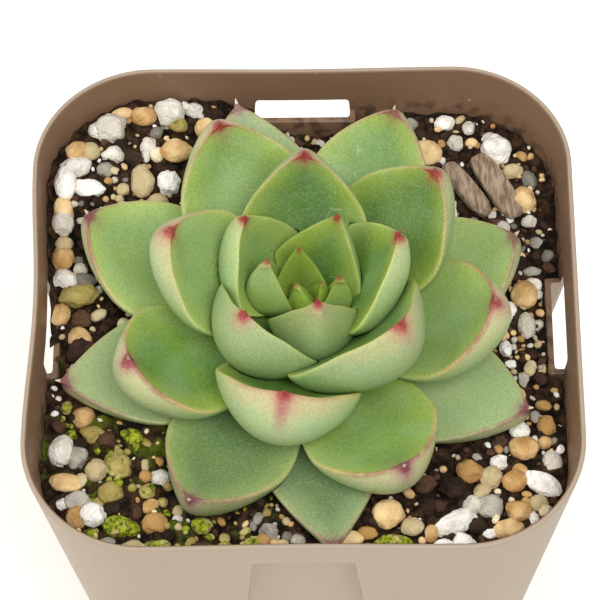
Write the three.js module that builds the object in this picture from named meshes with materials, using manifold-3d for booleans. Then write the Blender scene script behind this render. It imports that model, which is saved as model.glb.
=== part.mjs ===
// A moonstone echeveria in a thin square nursery pot, in millimetres, +Z up.
// The origin is the centre of the pot's base, on the surface that the pot stands on.

import * as THREE from 'three';
import { mergeVertices } from 'three/addons/utils/BufferGeometryUtils.js';
import Module from 'manifold-3d';

const wasm = await Module();
wasm.setup();

// Clearance between pieces that touch
const GAP = 0.3;

// Pot
const POT_HEIGHT = 75;
const RIM_HALF = 35;
const RIM_CORNER = 15.3;
const WALL = 0.75;
const TAPER = 0.115;
const CORNER_TAPER = 0.08;
const SIDE_BOW = { front: -0.2, right: 0, back: -0.2, left: -0.8 };
const FLOOR_TOP = 2.6;
const FLOOR_BOTTOM = 1.6;
const FOOT_WIDTH = 1.6;
const RECESS_DEPTH = 2.0;
const RECESS_TOP = POT_HEIGHT - 5.65;
const PANEL_TOP = POT_HEIGHT - 7.85;
const RECESS_HALF_TOP = 6.2;
const RECESS_HALF_BASE = 11;
const CENTRE_HOLE = 3;
const CORNER_HOLE = 2.5;
const CORNER_HOLE_AT = 13;

// Soil, higher towards the back left corner, dipping under the plant and hollow at the back slot
const SOIL_LEVEL = 66.4;
const SOIL_RISE = 3.2;
const SOIL_DIP = 2.4;
const DIP_RADIUS = 20;
const HOLLOW_X = 1;
const HOLLOW_Y = 33;
const HOLLOW_RADIUS = 14;
const HOLLOW_DEPTH = 3.4;
const SOIL_CELL = 4;
const SOIL_RIPPLE = 0.5;

// Stem: where its axis stands, and its outline as radius and height
const STEM_X = 0;
const STEM_Y = -0.7;
const STEM_OUTLINE = [
  [2.0, 59], [3.6, 62], [4.6, 66], [4.6, 68.8], [3.6, 70.0], [2.2, 71.3], [1.1, 72.4], [0.5, 73.4],
];

// Leaf spiral: azimuth of leaf 0, step to the next leaf, and the axis that the tips wind around
const FIRST_AZIMUTH = 74.2;
const GOLDEN_STEP = 137.24;
const AXIS_HEIGHT = 73.5;
const AXIS_X = 0.1;
const AXIS_Y = 0.2;
const LEAN_X = 0.08;
const LEAN_Y = 0.1;
const LEAF_COUNT = 31;
const MISSING_LEAF = 29;

// Each curve is a list of [leaf number, value], from the bud outwards
const TIP_RADIUS = [
  [0, 0.4], [3, 1.9], [5, 3.1], [8, 6.2], [12, 12], [17, 20.6], [22, 28], [25, 31], [30, 32.2],
];
const TIP_HEIGHT = [
  [0, 75.4], [2, 76.6], [3, 78.8], [5, 81.3], [8, 83.4], [11, 85.3], [14, 86.2], [16, 85.3],
  [18, 83.2], [20, 80.4], [22, 77.5], [24, 75.1], [26, 73], [28, 71.3], [30, 69.9],
];
const BASE_RADIUS = [[0, 0.3], [10, 1.8], [20, 3.2], [30, 4.2]];
const BASE_HEIGHT = [[0, 73.6], [10, 71.5], [20, 70.2], [30, 69.2]];
const WIDTH = [
  [0, 2], [3, 3.6], [5, 6.5], [8, 12], [12, 15.5], [14, 17.5], [22, 17.6], [26, 16.8], [30, 16.5],
];
const THICKNESS = [[0, 1], [3, 2.4], [5, 3.2], [10, 4.4], [13, 5.4], [18, 6], [25, 5.6], [30, 4.4]];
const CURL = [[0, 10], [6, 30], [9, 50], [12, 64], [18, 66], [22, 60], [26, 45], [30, 20]];
const CURL_TO_TIP = [[0, 0.6], [11, 0.6], [13, 1.5], [20, 2.1], [25, 2.2], [30, 1.6]];
const CHANNEL = [[0, 0.3], [10, 0.24], [20, 0.16], [30, 0.08]];
const WIDEST_AT = [[0, 0.3], [8, 0.38], [13, 0.52], [20, 0.62], [25, 0.6], [30, 0.52]];
const TAPER_BULGE = [[0, 1.2], [8, 1.3], [20, 1.9], [30, 1.45]];
const TAPER_ROUND = [[0, 0.95], [13, 0.8], [20, 0.78], [30, 0.9]];
const THINNER_FROM = [[0, 0.1], [7, 0.15], [10, 0.3], [15, 0.55]];

// How single leaves differ from the curves: reach, rise and swing of the tip, roll about the
// leaf's length, and bow of the blade to its right
const OWN_SHAPE = {
  3: { swing: -48 },
  4: { reach: -0.8, rise: -1, swing: -25, width: 3.7, thickness: 3.8, roll: 28 },
  5: { reach: -0.5, swing: 7, width: 6.9, curl: 28, roll: 5 },
  6: { width: 3.5, thickness: 3.8, roll: 12 },
  7: { reach: -0.3, swing: -12, width: 6.7, thickness: 5.5, curl: 23, roll: -36 },
  8: { rise: 0.5, width: 12.8, curl: 34 },
  9: { reach: -1.1, rise: -0.6, width: 12, thickness: 5.7, curl: 52, roll: 16 },
  10: { swing: 8.5, width: 14.8, thickness: 5.2, curl: 59, roll: -15, bow: -0.7 },
  11: { reach: 0.4, swing: 4, width: 17, thickness: 5.1, curl: 33, roll: 15, bow: 0.6 },
  12: { rise: -0.5, swing: 2, width: 16.6, thickness: 5.7, curl: 66, toTip: 0.5 },
  13: { reach: -0.8, swing: 3, curl: 50 },
  14: {
    reach: 0.3, rise: 0.4, width: 21.7, thickness: 6.3, widest: 0.45,
    curl: 54, toTip: 0.4, roll: 8, bow: 0.6,
  },
  15: { swing: -3, curl: 56, thickness: 5.4 },
  16: { swing: -4, curl: 54, thickness: 5.4 },
  17: {
    reach: -1.3, rise: -0.7, width: 18.7, thickness: 6.7,
    curl: 72, toTip: 0.9, roll: 3.5, bow: 0.4,
  },
  18: { reach: 0.4, swing: -4 },
  21: { reach: 0.5, swing: -7, width: 16.5 },
  23: { reach: 0.8 },
  24: { reach: -1.9, swing: -3 },
  27: { swing: 4, forward: 1 },
  28: { swing: 6, forward: 1.2 },
};

const SPIKE_LENGTH = 0.9;
const SPIKE_RADIUS = 0.42;
// The spike of the first leaf as a share of the full size, and how fast it grows with the number
const SMALLEST_SPIKE = 0.3;
const SPIKE_GROWS = 14;
const LEAF_RINGS = 8;
// Points across a leaf, as shares of its half width
const BLADE_SPREAD = [1, 0.7, 0, -0.7, -1];
const ARC_STEPS = 30;

// Larger loose stones: kind, x, y, length, width, turn in degrees
const STONES = [
  ['white', -25.2, 28.8, 4.4, 4.2, 20],
  ['white', -28.4, 30.2, 2.8, 2.6, 0],
  ['white', -29.8, 22.9, 4.4, 3.2, 20],
  ['white', -32.6, 20.2, 3.0, 5.2, 0],
  ['white', -28.2, 19.8, 5.0, 2.6, -8],
  ['white', -17.6, 32.2, 4.2, 4.2, 0],
  ['white', 25.8, 26.6, 4.2, 4.2, 30],
  ['white', 30.4, -22.6, 5.6, 3.0, -35],
  ['white', 18.8, -27.6, 6.2, 3.2, 25],
  ['white', -31.0, -17.4, 3.4, 4.4, -15],
  ['white', 28.8, 0.2, 2.4, 4.0, 0],
  ['tan', -16.6, 25.4, 4.8, 3.4, 0],
  ['tan', -21.0, 30.8, 3.6, 3.0, 0],
  ['tan', 16.6, 26.4, 4.0, 4.0, 0],
  ['tan', 28.6, 4.8, 3.6, 4.0, 0],
  ['tan', 27.7, -17.7, 3.9, 3.2, -10],
  ['tan', 10.5, -26.6, 4.2, 4.2, 0],
  ['tan', -30.4, -21.8, 4.4, 2.6, -5],
  ['tan', 25.4, -28.6, 4.2, 2.6, 15],
  ['mossy', -29.0, 4.2, 5.4, 3.2, 10],
  ['mossy', -22.8, -27.8, 5.0, 3.0, -8],
  ['mossy', 11.0, -30.6, 5.2, 2.8, 0],
];
const CHIPS = [
  [21.6, 20.6, 9.6, 2.8, -56],
  [25.6, 21.0, 10.8, 3.4, -62],
];

// Small gravel fused to the soil
const GRAVEL_COUNT = 45;
const GRAVEL_SIZE = [1.7, 3.1];
const GRAVEL_SEED = 11;
const CLEAR_RADIUS = 17;

const degrees = THREE.MathUtils.degToRad;

const MATERIALS = {
  pot: new THREE.MeshStandardMaterial({ color: 0xb49c86, roughness: 0.5, metalness: 0 }),
  soil: new THREE.MeshStandardMaterial({ color: 0x3a2a20, roughness: 0.95, metalness: 0 }),
  stem: new THREE.MeshStandardMaterial({ color: 0x7a6a4a, roughness: 0.9, metalness: 0 }),
  leaf: new THREE.MeshStandardMaterial({ color: 0x86ab66, roughness: 0.55, metalness: 0 }),
  bud: new THREE.MeshStandardMaterial({ color: 0x9dc063, roughness: 0.55, metalness: 0 }),
  white: new THREE.MeshStandardMaterial({ color: 0xeeebe4, roughness: 0.9, metalness: 0 }),
  tan: new THREE.MeshStandardMaterial({ color: 0xcfae7c, roughness: 0.9, metalness: 0 }),
  mossy: new THREE.MeshStandardMaterial({ color: 0xb9b14a, roughness: 0.9, metalness: 0 }),
  bark: new THREE.MeshStandardMaterial({ color: 0x8a7462, roughness: 0.9, metalness: 0 }),
};

// Repeatable random numbers from 0 to 1
function seeded(seed) {
  let state = seed >>> 0;
  return () => {
    state = (state + 0x6d2b79f5) >>> 0;
    let t = state;
    t = Math.imul(t ^ (t >>> 15), t | 1);
    t ^= t + Math.imul(t ^ (t >>> 7), t | 61);
    return ((t ^ (t >>> 14)) >>> 0) / 4294967296;
  };
}

function clamp01(value) {
  return Math.min(1, Math.max(0, value));
}

function smooth(value) {
  const t = clamp01(value);
  return t * t * (3 - 2 * t);
}

// Straight lines between the knots of a curve
function along(knots, at) {
  const last = knots[knots.length - 1];
  if (at >= last[0]) return last[1];
  const next = knots.findIndex((knot) => knot[0] > at);
  if (next <= 0) return knots[0][1];
  const [a, b] = [knots[next - 1], knots[next]];
  return a[1] + ((b[1] - a[1]) * (at - a[0])) / (b[0] - a[0]);
}

// A closed geometry as a solid, and back
function toSolid(geometry) {
  const bare = geometry.index ? geometry : geometry.clone();
  bare.deleteAttribute('normal');
  bare.deleteAttribute('uv');
  const merged = mergeVertices(bare, 1e-4);
  return new wasm.Manifold(new wasm.Mesh({
    numProp: 3,
    vertProperties: new Float32Array(merged.attributes.position.array),
    triVerts: new Uint32Array(merged.index.array),
  }));
}

function toGeometry(solid) {
  const mesh = solid.getMesh();
  const geometry = new THREE.BufferGeometry();
  geometry.setAttribute('position', new THREE.BufferAttribute(new Float32Array(mesh.vertProperties), 3));
  geometry.setIndex(new THREE.BufferAttribute(new Uint32Array(mesh.triVerts), 1));
  geometry.computeVertexNormals();
  return geometry;
}

// The largest separate body of a solid, so that no scrap of a cut stays behind
function largest(solid) {
  return solid.decompose().reduce((best, one) => (one.volume() > best.volume() ? one : best));
}

// Rings of equally many points, joined into a closed body; each end closes on its middle point
function loft(rings) {
  const count = rings[0].length;
  const positions = [];
  const index = [];
  rings.flat().forEach((p) => positions.push(p.x, p.y, p.z));
  for (let r = 0; r < rings.length - 1; r += 1) {
    for (let i = 0; i < count; i += 1) {
      const [a, b] = [r * count + i, r * count + ((i + 1) % count)];
      index.push(a, b, b + count, a, b + count, a + count);
    }
  }
  const addCap = (ring, start, flip) => {
    const middle = ring.reduce((sum, p) => sum.add(p), new THREE.Vector3()).divideScalar(count);
    const centre = positions.length / 3;
    positions.push(middle.x, middle.y, middle.z);
    for (let i = 0; i < count; i += 1) {
      const [a, b] = [start + i, start + ((i + 1) % count)];
      index.push(...(flip ? [centre, b, a] : [centre, a, b]));
    }
  };
  addCap(rings[0], 0, true);
  addCap(rings[rings.length - 1], (rings.length - 1) * count, false);
  const geometry = new THREE.BufferGeometry();
  geometry.setAttribute('position', new THREE.Float32BufferAttribute(positions, 3));
  geometry.setIndex(index);
  return geometry;
}

// Every vertex moved out along its normal
function grown(geometry, distance) {
  const copy = geometry.clone();
  copy.computeVertexNormals();
  const position = copy.attributes.position;
  const normal = copy.attributes.normal;
  for (let i = 0; i < position.count; i += 1) {
    position.setXYZ(
      i,
      position.getX(i) + normal.getX(i) * distance,
      position.getY(i) + normal.getY(i) * distance,
      position.getZ(i) + normal.getZ(i) * distance,
    );
  }
  return copy;
}

// Outline of the pot at height z, drawn in by inset from the outer face, counter-clockwise
function potRing(z, inset) {
  const down = POT_HEIGHT - z;
  const half = RIM_HALF - TAPER * down - inset;
  const corner = RIM_CORNER - CORNER_TAPER * down - inset;
  const straight = half - corner;
  const fade = z / POT_HEIGHT;
  const cornerSteps = 6;
  const sideSteps = 6;
  const points = [];
  ['right', 'back', 'left', 'front'].forEach((side, quarter) => {
    const turn = (quarter * Math.PI) / 2;
    for (let i = 0; i < sideSteps; i += 1) {
      const t = (2 * i) / sideSteps - 1;
      const bow = SIDE_BOW[side] * fade * Math.cos((t * Math.PI) / 2) ** 2;
      points.push(new THREE.Vector2(half + bow, t * straight).rotateAround(new THREE.Vector2(), turn));
    }
    for (let i = 0; i < cornerSteps; i += 1) {
      const angle = (i / cornerSteps) * (Math.PI / 2);
      const [x, y] = [straight + corner * Math.cos(angle), straight + corner * Math.sin(angle)];
      points.push(new THREE.Vector2(x, y).rotateAround(new THREE.Vector2(), turn));
    }
  });
  return points.map((p) => new THREE.Vector3(p.x, p.y, z));
}

function potBody(bottom, top, inset) {
  return toSolid(loft([potRing(bottom, inset), potRing(top, inset)]));
}

// Wedge in the middle of each wall, from below the pot up to its top, reaching depth in from the wall
function wallWedges(top, depth, extraWidth) {
  const beyond = 6;
  const below = -1;
  const section = (z) => {
    const face = RIM_HALF - TAPER * (POT_HEIGHT - z);
    const across = (RECESS_TOP - z) / RECESS_TOP;
    const half = RECESS_HALF_TOP + (RECESS_HALF_BASE - RECESS_HALF_TOP) * across + extraWidth;
    return [
      new THREE.Vector3(face - depth, -half, z),
      new THREE.Vector3(face + beyond, -half, z),
      new THREE.Vector3(face + beyond, half, z),
      new THREE.Vector3(face - depth, half, z),
    ];
  };
  const wedge = toSolid(loft([section(below), section(top)]));
  return [0, 90, 180, 270].map((turn) => wedge.rotate([0, 0, turn])).reduce((all, one) => all.add(one));
}

function drainHole(radius, x, y) {
  const hole = new THREE.CylinderGeometry(radius, radius, 4 * FLOOR_TOP, 16);
  hole.rotateX(Math.PI / 2).translate(x, y, FLOOR_TOP);
  return toSolid(hole);
}

function makePot() {
  const shell = potBody(0, POT_HEIGHT, 0).subtract(wallWedges(RECESS_TOP, RECESS_DEPTH, 0));
  const inside = potBody(FLOOR_TOP, POT_HEIGHT + 1, WALL)
    .subtract(wallWedges(PANEL_TOP, RECESS_DEPTH + WALL, WALL));
  const underFloor = potBody(-1, FLOOR_BOTTOM, FOOT_WIDTH);
  const holes = [drainHole(CENTRE_HOLE, 0, 0)];
  [-1, 1].forEach((sx) => [-1, 1].forEach((sy) => {
    holes.push(drainHole(CORNER_HOLE, sx * CORNER_HOLE_AT, sy * CORNER_HOLE_AT));
  }));
  return [inside, underFloor, ...holes].reduce((pot, cut) => pot.subtract(cut), shell);
}

// Room inside the pot, clear of its walls by the gap
function potRoom(top) {
  return potBody(FLOOR_TOP + GAP, top, WALL + GAP)
    .subtract(wallWedges(PANEL_TOP + GAP, RECESS_DEPTH + WALL + GAP, WALL + GAP));
}

function soilHeight(x, y) {
  const toCorner = (y - x) / 2;
  const rise = SOIL_RISE * smooth((toCorner - 8) / 18);
  const dip = SOIL_DIP * (1 - smooth(Math.hypot(x, y) / DIP_RADIUS));
  const ripple = SOIL_RIPPLE * Math.sin(1.7 * x + 1.3) * Math.sin(1.9 * y + 0.4);
  const fromHollow = Math.hypot(x - HOLLOW_X, y - HOLLOW_Y) / HOLLOW_RADIUS;
  const hollow = HOLLOW_DEPTH * (1 - smooth(fromHollow));
  return SOIL_LEVEL + rise - dip + ripple - hollow;
}

// Plain block under the soil's uneven top
function soilBlock() {
  const half = RIM_HALF;
  const cells = Math.round((2 * half) / SOIL_CELL);
  const slab = new THREE.BoxGeometry(2 * half, 2 * half, 1, cells, cells, 1);
  const position = slab.attributes.position;
  for (let i = 0; i < position.count; i += 1) {
    const top = position.getZ(i) > 0;
    position.setZ(i, top ? soilHeight(position.getX(i), position.getY(i)) : 0);
  }
  return toSolid(slab);
}

// A rounded, uneven stone lying part sunk in the soil
function stoneGeometry(length, width, height, turn, x, y, sunk, detail, random) {
  const stone = new THREE.IcosahedronGeometry(1, detail);
  stone.deleteAttribute('normal');
  stone.deleteAttribute('uv');
  const merged = mergeVertices(stone, 1e-4);
  const position = merged.attributes.position;
  for (let i = 0; i < position.count; i += 1) {
    const swell = 0.92 + 0.16 * random();
    position.setXYZ(
      i,
      (position.getX(i) * swell * length) / 2,
      (position.getY(i) * swell * width) / 2,
      (position.getZ(i) * swell * height) / 2,
    );
  }
  merged.rotateZ(degrees(turn));
  merged.translate(x, y, soilHeight(x, y) + height * (0.5 - sunk));
  return merged;
}

// Points and directions from a leaf's base to its tip: an arc in the upright plane of the leaf,
// whose slope rises by the curl
function leafArc(base, tip, curl, toTip) {
  const slopes = [];
  const points = [new THREE.Vector2()];
  for (let i = 0; i <= ARC_STEPS; i += 1) {
    slopes.push(degrees(curl) * (i / ARC_STEPS) ** toTip);
    if (i > 0) {
      const middle = (slopes[i] + slopes[i - 1]) / 2;
      const step = new THREE.Vector2(Math.cos(middle), Math.sin(middle)).divideScalar(ARC_STEPS);
      points.push(points[i - 1].clone().add(step));
    }
  }
  const end = points[ARC_STEPS];
  const across = Math.hypot(tip.x - base.x, tip.y - base.y);
  const ahead = new THREE.Vector3((tip.x - base.x) / across, (tip.y - base.y) / across, 0);
  const chord = Math.hypot(across, tip.z - base.z);
  const scale = chord / end.length();
  const tilt = Math.atan2(tip.z - base.z, across) - end.angle();
  return {
    length: scale,
    ahead,
    at(s) {
      const place = clamp01(s) * ARC_STEPS;
      const i = Math.min(ARC_STEPS - 1, Math.floor(place));
      const flat = points[i].clone().lerp(points[i + 1], place - i);
      flat.rotateAround(new THREE.Vector2(), tilt).multiplyScalar(scale);
      const slope = slopes[i] + (slopes[i + 1] - slopes[i]) * (place - i) + tilt;
      const point = base.clone().addScaledVector(ahead, flat.x);
      point.z += flat.y;
      return { point, slope };
    },
  };
}

// Half width of a leaf as a share of its largest, s running from 0 at the base to 1 at the tip
function widthShare(s, widest, bulge, round) {
  const narrow = 0.25;
  if (s <= widest) return narrow + (1 - narrow) * Math.sin((Math.PI / 2) * clamp01(s / widest)) ** 1.1;
  return (1 - clamp01((s - widest) / (1 - widest)) ** bulge) ** round;
}

function thicknessShare(s, thinnerFrom) {
  const thin = 0.38;
  const body = thin + (1 - thin) * Math.sin((Math.PI / 2) * clamp01(s / 0.6));
  const towardTip = clamp01((s - thinnerFrom) / (1 - thinnerFrom));
  return body * (1 - towardTip ** (1 + 3.6 * thinnerFrom)) ** 0.6;
}

function spikeShare(s, spikeSpan) {
  if (s < 0.8) return 0;
  if (s < 0.97) return (1.15 * (s - 0.8)) / 0.17;
  return along([[0.97, 1.15], [1 + 0.35 * spikeSpan, 0.62], [1 + spikeSpan, 0.05]], s);
}

// One leaf, or with extra the room it needs: the same leaf with that much more on every side
function leafGeometry(n, extra = 0) {
  const own = OWN_SHAPE[n] ?? {};
  const azimuth = degrees(FIRST_AZIMUTH - GOLDEN_STEP * n + (own.swing ?? 0));
  const radius = along(TIP_RADIUS, n) + (own.reach ?? 0);
  const tipZ = along(TIP_HEIGHT, n) + (own.rise ?? 0);
  const above = tipZ - AXIS_HEIGHT;
  const tip = new THREE.Vector3(
    AXIS_X + LEAN_X * above + radius * Math.cos(azimuth),
    AXIS_Y + LEAN_Y * above + radius * Math.sin(azimuth),
    tipZ,
  );
  const toTip = new THREE.Vector2(tip.x - STEM_X, tip.y - STEM_Y).normalize();
  const base = new THREE.Vector3(
    STEM_X + toTip.x * along(BASE_RADIUS, n),
    STEM_Y + toTip.y * along(BASE_RADIUS, n) - (own.forward ?? 0),
    along(BASE_HEIGHT, n),
  );
  const curl = own.curl ?? along(CURL, n);
  const arc = leafArc(base, tip, curl, own.toTip ?? along(CURL_TO_TIP, n));
  const side = new THREE.Vector3(arc.ahead.y, -arc.ahead.x, 0);
  const halfWidth = (own.width ?? along(WIDTH, n)) / 2;
  const thickness = own.thickness ?? along(THICKNESS, n);
  const widest = own.widest ?? along(WIDEST_AT, n);
  const bulge = along(TAPER_BULGE, n);
  const round = along(TAPER_ROUND, n);
  const channel = along(CHANNEL, n);
  const roll = degrees(own.roll ?? 0);
  const thinnerFrom = along(THINNER_FROM, n);
  const small = Math.min(1, SMALLEST_SPIKE + n / SPIKE_GROWS);
  const spikeSpan = (small * SPIKE_LENGTH) / arc.length;

  const stations = [];
  for (let i = 0; i < LEAF_RINGS; i += 1) stations.push(1 - (1 - i / (LEAF_RINGS - 1)) ** 1.5);
  stations.push(1 + 0.35 * spikeSpan, 1 + spikeSpan);

  const rings = stations.map((s) => {
    const { point, slope } = arc.at(s);
    const forward = arc.ahead.clone().multiplyScalar(Math.cos(slope)).setZ(Math.sin(slope));
    const up = arc.ahead.clone().multiplyScalar(-Math.sin(slope)).setZ(Math.cos(slope));
    point.addScaledVector(forward, Math.max(0, s - 1) * (arc.length + extra / spikeSpan));
    point.addScaledVector(side, (own.bow ?? 0) * Math.sin(Math.PI * clamp01(s)));
    const spike = small * SPIKE_RADIUS * spikeShare(s, spikeSpan);
    const w = extra + Math.hypot(s < 1 ? halfWidth * widthShare(s, widest, bulge, round) : 0, spike);
    const t = Math.hypot(s < 1 ? thickness * thicknessShare(s, thinnerFrom) : 0, 1.7 * spike);
    const cup = s < 1 ? channel * w * (1 - 0.8 * smooth((s - 0.75) / 0.25)) : 0;
    const across = side.clone().multiplyScalar(Math.cos(roll)).addScaledVector(up, Math.sin(roll));
    const over = up.clone().multiplyScalar(Math.cos(roll)).addScaledVector(side, -Math.sin(roll));
    const place = (u, v) => point.clone().addScaledVector(across, u * w).addScaledVector(over, v);
    const under = BLADE_SPREAD.map((u) => place(u, cup - (cup + t) * Math.max(0, 1 - u * u) ** 0.62 - extra));
    const top = BLADE_SPREAD.map((u) => place(u, cup * u * u + extra)).reverse();
    return extra > 0 ? [...under, ...top] : [...under, ...top.slice(1, -1)];
  });
  return loft(rings);
}

function makeStem() {
  const profile = [new THREE.Vector2(0, STEM_OUTLINE[0][1])];
  STEM_OUTLINE.forEach(([radius, height]) => profile.push(new THREE.Vector2(radius, height)));
  profile.push(new THREE.Vector2(0, STEM_OUTLINE[STEM_OUTLINE.length - 1][1]));
  const stem = new THREE.LatheGeometry(profile, 12);
  stem.rotateX(Math.PI / 2).translate(STEM_X, STEM_Y, 0);
  stem.deleteAttribute('normal');
  stem.deleteAttribute('uv');
  return mergeVertices(stem, 1e-4);
}

// Leaves from the bud outwards, each cut clear of the stem and of the leaves inside it
function makeLeaves(stemRoom) {
  const leaves = [];
  const rooms = [stemRoom];
  for (let n = 0; n < LEAF_COUNT; n += 1) {
    if (n !== MISSING_LEAF) {
      const cut = rooms.reduce((leaf, room) => leaf.subtract(room), toSolid(leafGeometry(n)));
      leaves.push({ n, solid: largest(cut) });
      rooms.push(toSolid(leafGeometry(n, GAP)));
    }
  }
  return { leaves, rooms };
}

function makeStones(taken) {
  const random = seeded(5);
  const room = potRoom(POT_HEIGHT);
  const stones = [];
  const rooms = [];
  const counts = {};
  const add = (name, material, geometry) => {
    const clear = [...taken, ...rooms].reduce((stone, other) => stone.subtract(other), toSolid(geometry));
    stones.push({ name, material, solid: largest(clear.intersect(room)) });
    rooms.push(toSolid(grown(geometry, GAP)));
  };
  STONES.forEach(([kind, x, y, length, width, turn]) => {
    counts[kind] = (counts[kind] ?? 0) + 1;
    const height = 0.85 * Math.min(length, width);
    const geometry = stoneGeometry(length, width, height, turn, x, y, 0.35, 1, random);
    add(`stone_${kind}_${counts[kind]}`, kind, geometry);
  });
  CHIPS.forEach(([x, y, length, width, turn], i) => {
    add(`bark_chip_${i + 1}`, 'bark', stoneGeometry(length, width, 1.8, turn, x, y, 0.1, 1, random));
  });
  return { stones, rooms };
}

// Small gravel scattered by a seeded rule, away from the larger stones
function scatterGravel() {
  const random = seeded(GRAVEL_SEED);
  const reach = RIM_HALF - 4;
  const placed = STONES.map(([, x, y, length]) => [x, y, length / 2]);
  const pieces = [];
  for (let tries = 0; pieces.length < GRAVEL_COUNT && tries < 20 * GRAVEL_COUNT; tries += 1) {
    const x = reach * (2 * random() - 1);
    const y = reach * (2 * random() - 1);
    const size = GRAVEL_SIZE[0] + (GRAVEL_SIZE[1] - GRAVEL_SIZE[0]) * random();
    const open = placed.every(([px, py, r]) => Math.hypot(x - px, y - py) > 0.8 * (r + size / 2));
    if (open && Math.hypot(x, y) > CLEAR_RADIUS) {
      const squash = 0.7 + 0.3 * random();
      const stone = stoneGeometry(size, size * squash, 0.8 * size, 360 * random(), x, y, 0.45, 0, random);
      pieces.push(toSolid(stone));
      placed.push([x, y, size / 2]);
    }
  }
  return pieces;
}

function makeSoil(rooms) {
  const heap = scatterGravel().reduce((all, stone) => all.add(stone), soilBlock());
  const filled = heap.intersect(potRoom(POT_HEIGHT));
  return largest(rooms.reduce((soil, room) => soil.subtract(room), filled));
}

function meshOf(name, material, geometry) {
  const mesh = new THREE.Mesh(geometry, MATERIALS[material]);
  mesh.name = name;
  return mesh;
}

const plant = new THREE.Group();
const stemGeometry = makeStem();
const { leaves, rooms: plantRooms } = makeLeaves(toSolid(grown(stemGeometry, GAP)));
const { stones, rooms: stoneRooms } = makeStones(plantRooms);

plant.add(meshOf('pot', 'pot', toGeometry(makePot())));
plant.add(meshOf('soil', 'soil', toGeometry(makeSoil([...plantRooms, ...stoneRooms]))));
plant.add(meshOf('stem', 'stem', stemGeometry));
leaves.forEach(({ n, solid }) => {
  const name = `leaf_${String(n).padStart(2, '0')}`;
  plant.add(meshOf(name, n < 8 ? 'bud' : 'leaf', toGeometry(solid)));
});
stones.forEach(({ name, material, solid }) => plant.add(meshOf(name, material, toGeometry(solid))));

export default plant;
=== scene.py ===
"""A moonstone echeveria in a thin square nursery pot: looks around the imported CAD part.

Lengths are in millimetres and become metres where a mesh, light or camera is made.
"""

import math
import random

import bmesh
import bpy
import numpy as np
from mathutils import Matrix, Vector, bvhtree, kdtree, noise


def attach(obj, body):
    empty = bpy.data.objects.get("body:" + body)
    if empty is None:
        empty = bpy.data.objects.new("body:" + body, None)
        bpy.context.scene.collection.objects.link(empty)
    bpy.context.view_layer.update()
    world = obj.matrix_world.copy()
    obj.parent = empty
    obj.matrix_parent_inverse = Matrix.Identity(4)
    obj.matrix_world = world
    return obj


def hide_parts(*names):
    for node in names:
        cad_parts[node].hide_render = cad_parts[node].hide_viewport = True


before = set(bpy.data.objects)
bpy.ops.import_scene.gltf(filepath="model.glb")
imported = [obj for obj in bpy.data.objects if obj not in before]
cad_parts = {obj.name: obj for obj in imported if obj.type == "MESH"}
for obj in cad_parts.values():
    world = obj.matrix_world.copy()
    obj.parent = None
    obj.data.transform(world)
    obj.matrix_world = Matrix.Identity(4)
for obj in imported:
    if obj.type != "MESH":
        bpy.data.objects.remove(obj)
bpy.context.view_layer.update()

MM = 0.001

# Camera, as fitted to the photograph
CAMERA_AZIMUTH = 1.166
CAMERA_ELEVATION = 60.715
CAMERA_ROLL = -1.535
CAMERA_TARGET = (-0.312, -0.302, 75.0)
CAMERA_DISTANCE = 395.0
CAMERA_LENS = 187.27
CAMERA_SENSOR = 36

# Studio: each light's place, size and power, and how far the floor reaches
LIGHTS = {
    "key": ((150, -240, 650), 360, 2.8),
    "fill": ((-430, -60, 480), 400, 1.5),
}
LIGHTS_AIM = (0, 0, 70)
WORLD_LIGHT = 0.66
FLOOR_GLOW = 0.22
FLOOR_REACH = 2000

# Pot
POT_HEIGHT = 75
RIM_HALF = 35
RIM_CORNER = 15.3
WALL = 0.75
TAPER = 0.115
CORNER_TAPER = 0.08
SIDE_BOW = {"right": 0, "back": -0.2, "left": -0.8, "front": -0.2}
FLOOR_TOP = 2.6
FLOOR_BOTTOM = 1.6
FOOT_WIDTH = 1.6
RECESS_DEPTH = 2.0
RECESS_TOP = POT_HEIGHT - 5.65
PANEL_TOP = POT_HEIGHT - 7.85
RECESS_HALF_TOP = 6.2
RECESS_HALF_BASE = 11
CENTRE_HOLE = 3
CORNER_HOLE = 2.5
CORNER_HOLE_AT = 13
LIP_ROUND = 0.3
CORNER_STEPS = 22
SIDE_STEPS = 12

# Soil
SOIL_LEVEL = 66.4
SOIL_RISE = 3.2
SOIL_DIP = 2.4
DIP_RADIUS = 20
SOIL_RIPPLE = 0.5
HOLLOW_X = 1
HOLLOW_Y = 33
HOLLOW_RADIUS = 14
HOLLOW_DEPTH = 3.4
SOIL_CELL = 0.5
SOIL_GAP = 0.15

# Stem axis
STEM_X = 0
STEM_Y = -0.7

# Leaf spiral
FIRST_AZIMUTH = 74.2
GOLDEN_STEP = 137.24
AXIS_HEIGHT = 73.5
AXIS_X = 0.1
AXIS_Y = 0.2
LEAN_X = 0.08
LEAN_Y = 0.1
LEAF_COUNT = 31
MISSING_LEAF = 29

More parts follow.
